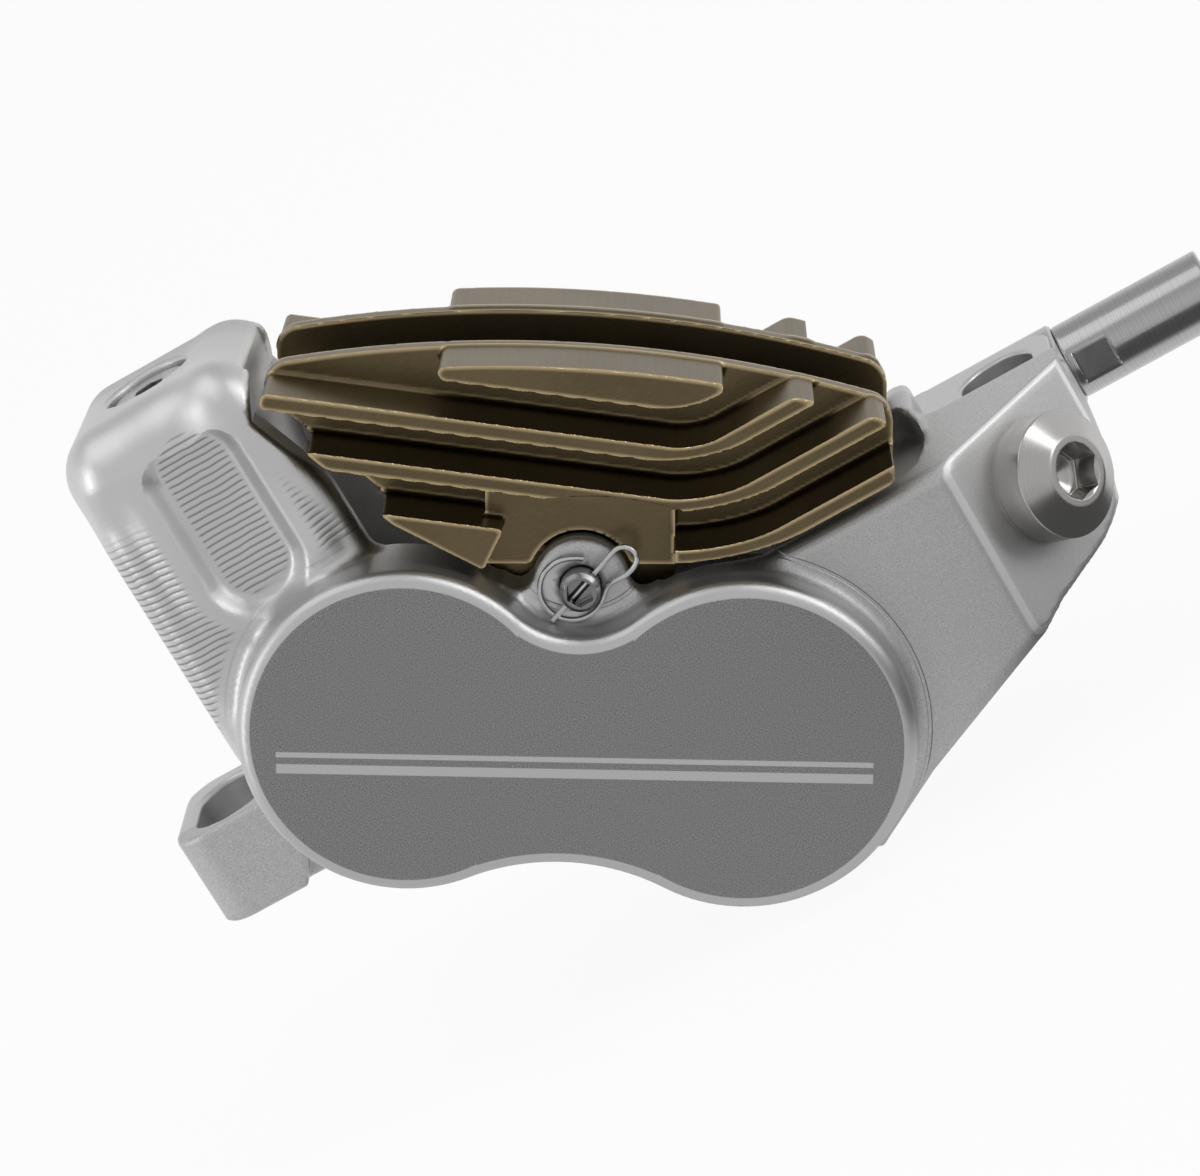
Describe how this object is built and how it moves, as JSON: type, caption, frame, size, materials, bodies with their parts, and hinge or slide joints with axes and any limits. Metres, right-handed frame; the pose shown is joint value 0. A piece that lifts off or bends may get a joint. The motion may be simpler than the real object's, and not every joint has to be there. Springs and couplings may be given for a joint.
{
  "type": "hydraulic disc brake caliper",
  "caption": "Post-mount hydraulic bicycle disc brake caliper with opposed pistons, finned pads, retaining pin, bleed screw and hose fitting.",
  "frame": {"origin": "midway between the two mounting slots, on the plane of the ears' undersides and on the rotor's middle plane", "axes": "+Z along the mounting bolts away from the fork or frame, +X towards the hose end, Y along the rotor's axle with the blank piston face at -Y and the ears at +Y"},
  "size_m": [0.0981, 0.043, 0.0607],
  "materials": {
    "body_blasted": "bead blasted, clear anodised",
    "cap_anodised": "turned, clear anodised",
    "piston_metal": "ground and hard anodised",
    "radiator_bronze": "bronze anodised, satin, bright edges",
    "backplate_steel": "stamped steel",
    "friction_compound": "sintered metal compound",
    "rivet_steel": "plain",
    "spring_steel": "bright spring strip",
    "pin_steel": "turned stainless steel",
    "clip_wire": "bright spring wire",
    "screw_steel": "turned stainless steel",
    "seal_metal": "crush washer",
    "fitting_metal": "turned",
    "rubber_black": "moulded"
  },
  "bodies": {
    "caliper": {"caliper_body": "body_blasted", "bore_cap_lead": "cap_anodised", "bore_cap_trail": "cap_anodised", "cap_oring_lead": "rubber_black", "cap_oring_trail": "rubber_black", "bleed_screw": "screw_steel", "bleed_oring": "rubber_black", "port_plug": "screw_steel", "port_seal": "seal_metal", "gallery_plug": "screw_steel", "hose_fitting": "fitting_metal", "fitting_oring": "rubber_black", "retaining_pin": "pin_steel", "ring_clip": "clip_wire", "pad_spring": "spring_steel", "seal_front_lead": "rubber_black", "seal_front_trail": "rubber_black", "seal_rear_lead": "rubber_black", "seal_rear_trail": "rubber_black"},
    "pad_front": {"radiator_front": "radiator_bronze", "backplate_front": "backplate_steel", "friction_front": "friction_compound", "rivets_front": "rivet_steel"},
    "piston_front_lead": {"piston_front_lead": "piston_metal"},
    "piston_front_trail": {"piston_front_trail": "piston_metal"},
    "pad_rear": {"radiator_rear": "radiator_bronze", "backplate_rear": "backplate_steel", "friction_rear": "friction_compound", "rivets_rear": "rivet_steel"},
    "piston_rear_lead": {"piston_rear_lead": "piston_metal"},
    "piston_rear_trail": {"piston_rear_trail": "piston_metal"}
  },
  "joints": [
    {"name": "pad_front_slide", "type": "slide", "parent": "caliper", "child": "pad_front", "axis": [0, 1, 0], "range_m": [0, 0.001]},
    {"name": "piston_front_lead_slide", "type": "slide", "parent": "caliper", "child": "piston_front_lead", "axis": [0, 1, 0], "range_m": [0, 0.001]},
    {"name": "piston_front_trail_slide", "type": "slide", "parent": "caliper", "child": "piston_front_trail", "axis": [0, 1, 0], "range_m": [0, 0.001]},
    {"name": "pad_rear_slide", "type": "slide", "parent": "caliper", "child": "pad_rear", "axis": [0, -1, 0], "range_m": [0, 0.001]},
    {"name": "piston_rear_lead_slide", "type": "slide", "parent": "caliper", "child": "piston_rear_lead", "axis": [0, -1, 0], "range_m": [0, 0.001]},
    {"name": "piston_rear_trail_slide", "type": "slide", "parent": "caliper", "child": "piston_rear_trail", "axis": [0, -1, 0], "range_m": [0, 0.001]}
  ],
  "couplings": [
    {"joint": "piston_front_lead_slide", "follows": "pad_front_slide", "ratio": 1},
    {"joint": "piston_front_trail_slide", "follows": "pad_front_slide", "ratio": 1},
    {"joint": "piston_rear_lead_slide", "follows": "pad_rear_slide", "ratio": 1},
    {"joint": "piston_rear_trail_slide", "follows": "pad_rear_slide", "ratio": 1}
  ]
}
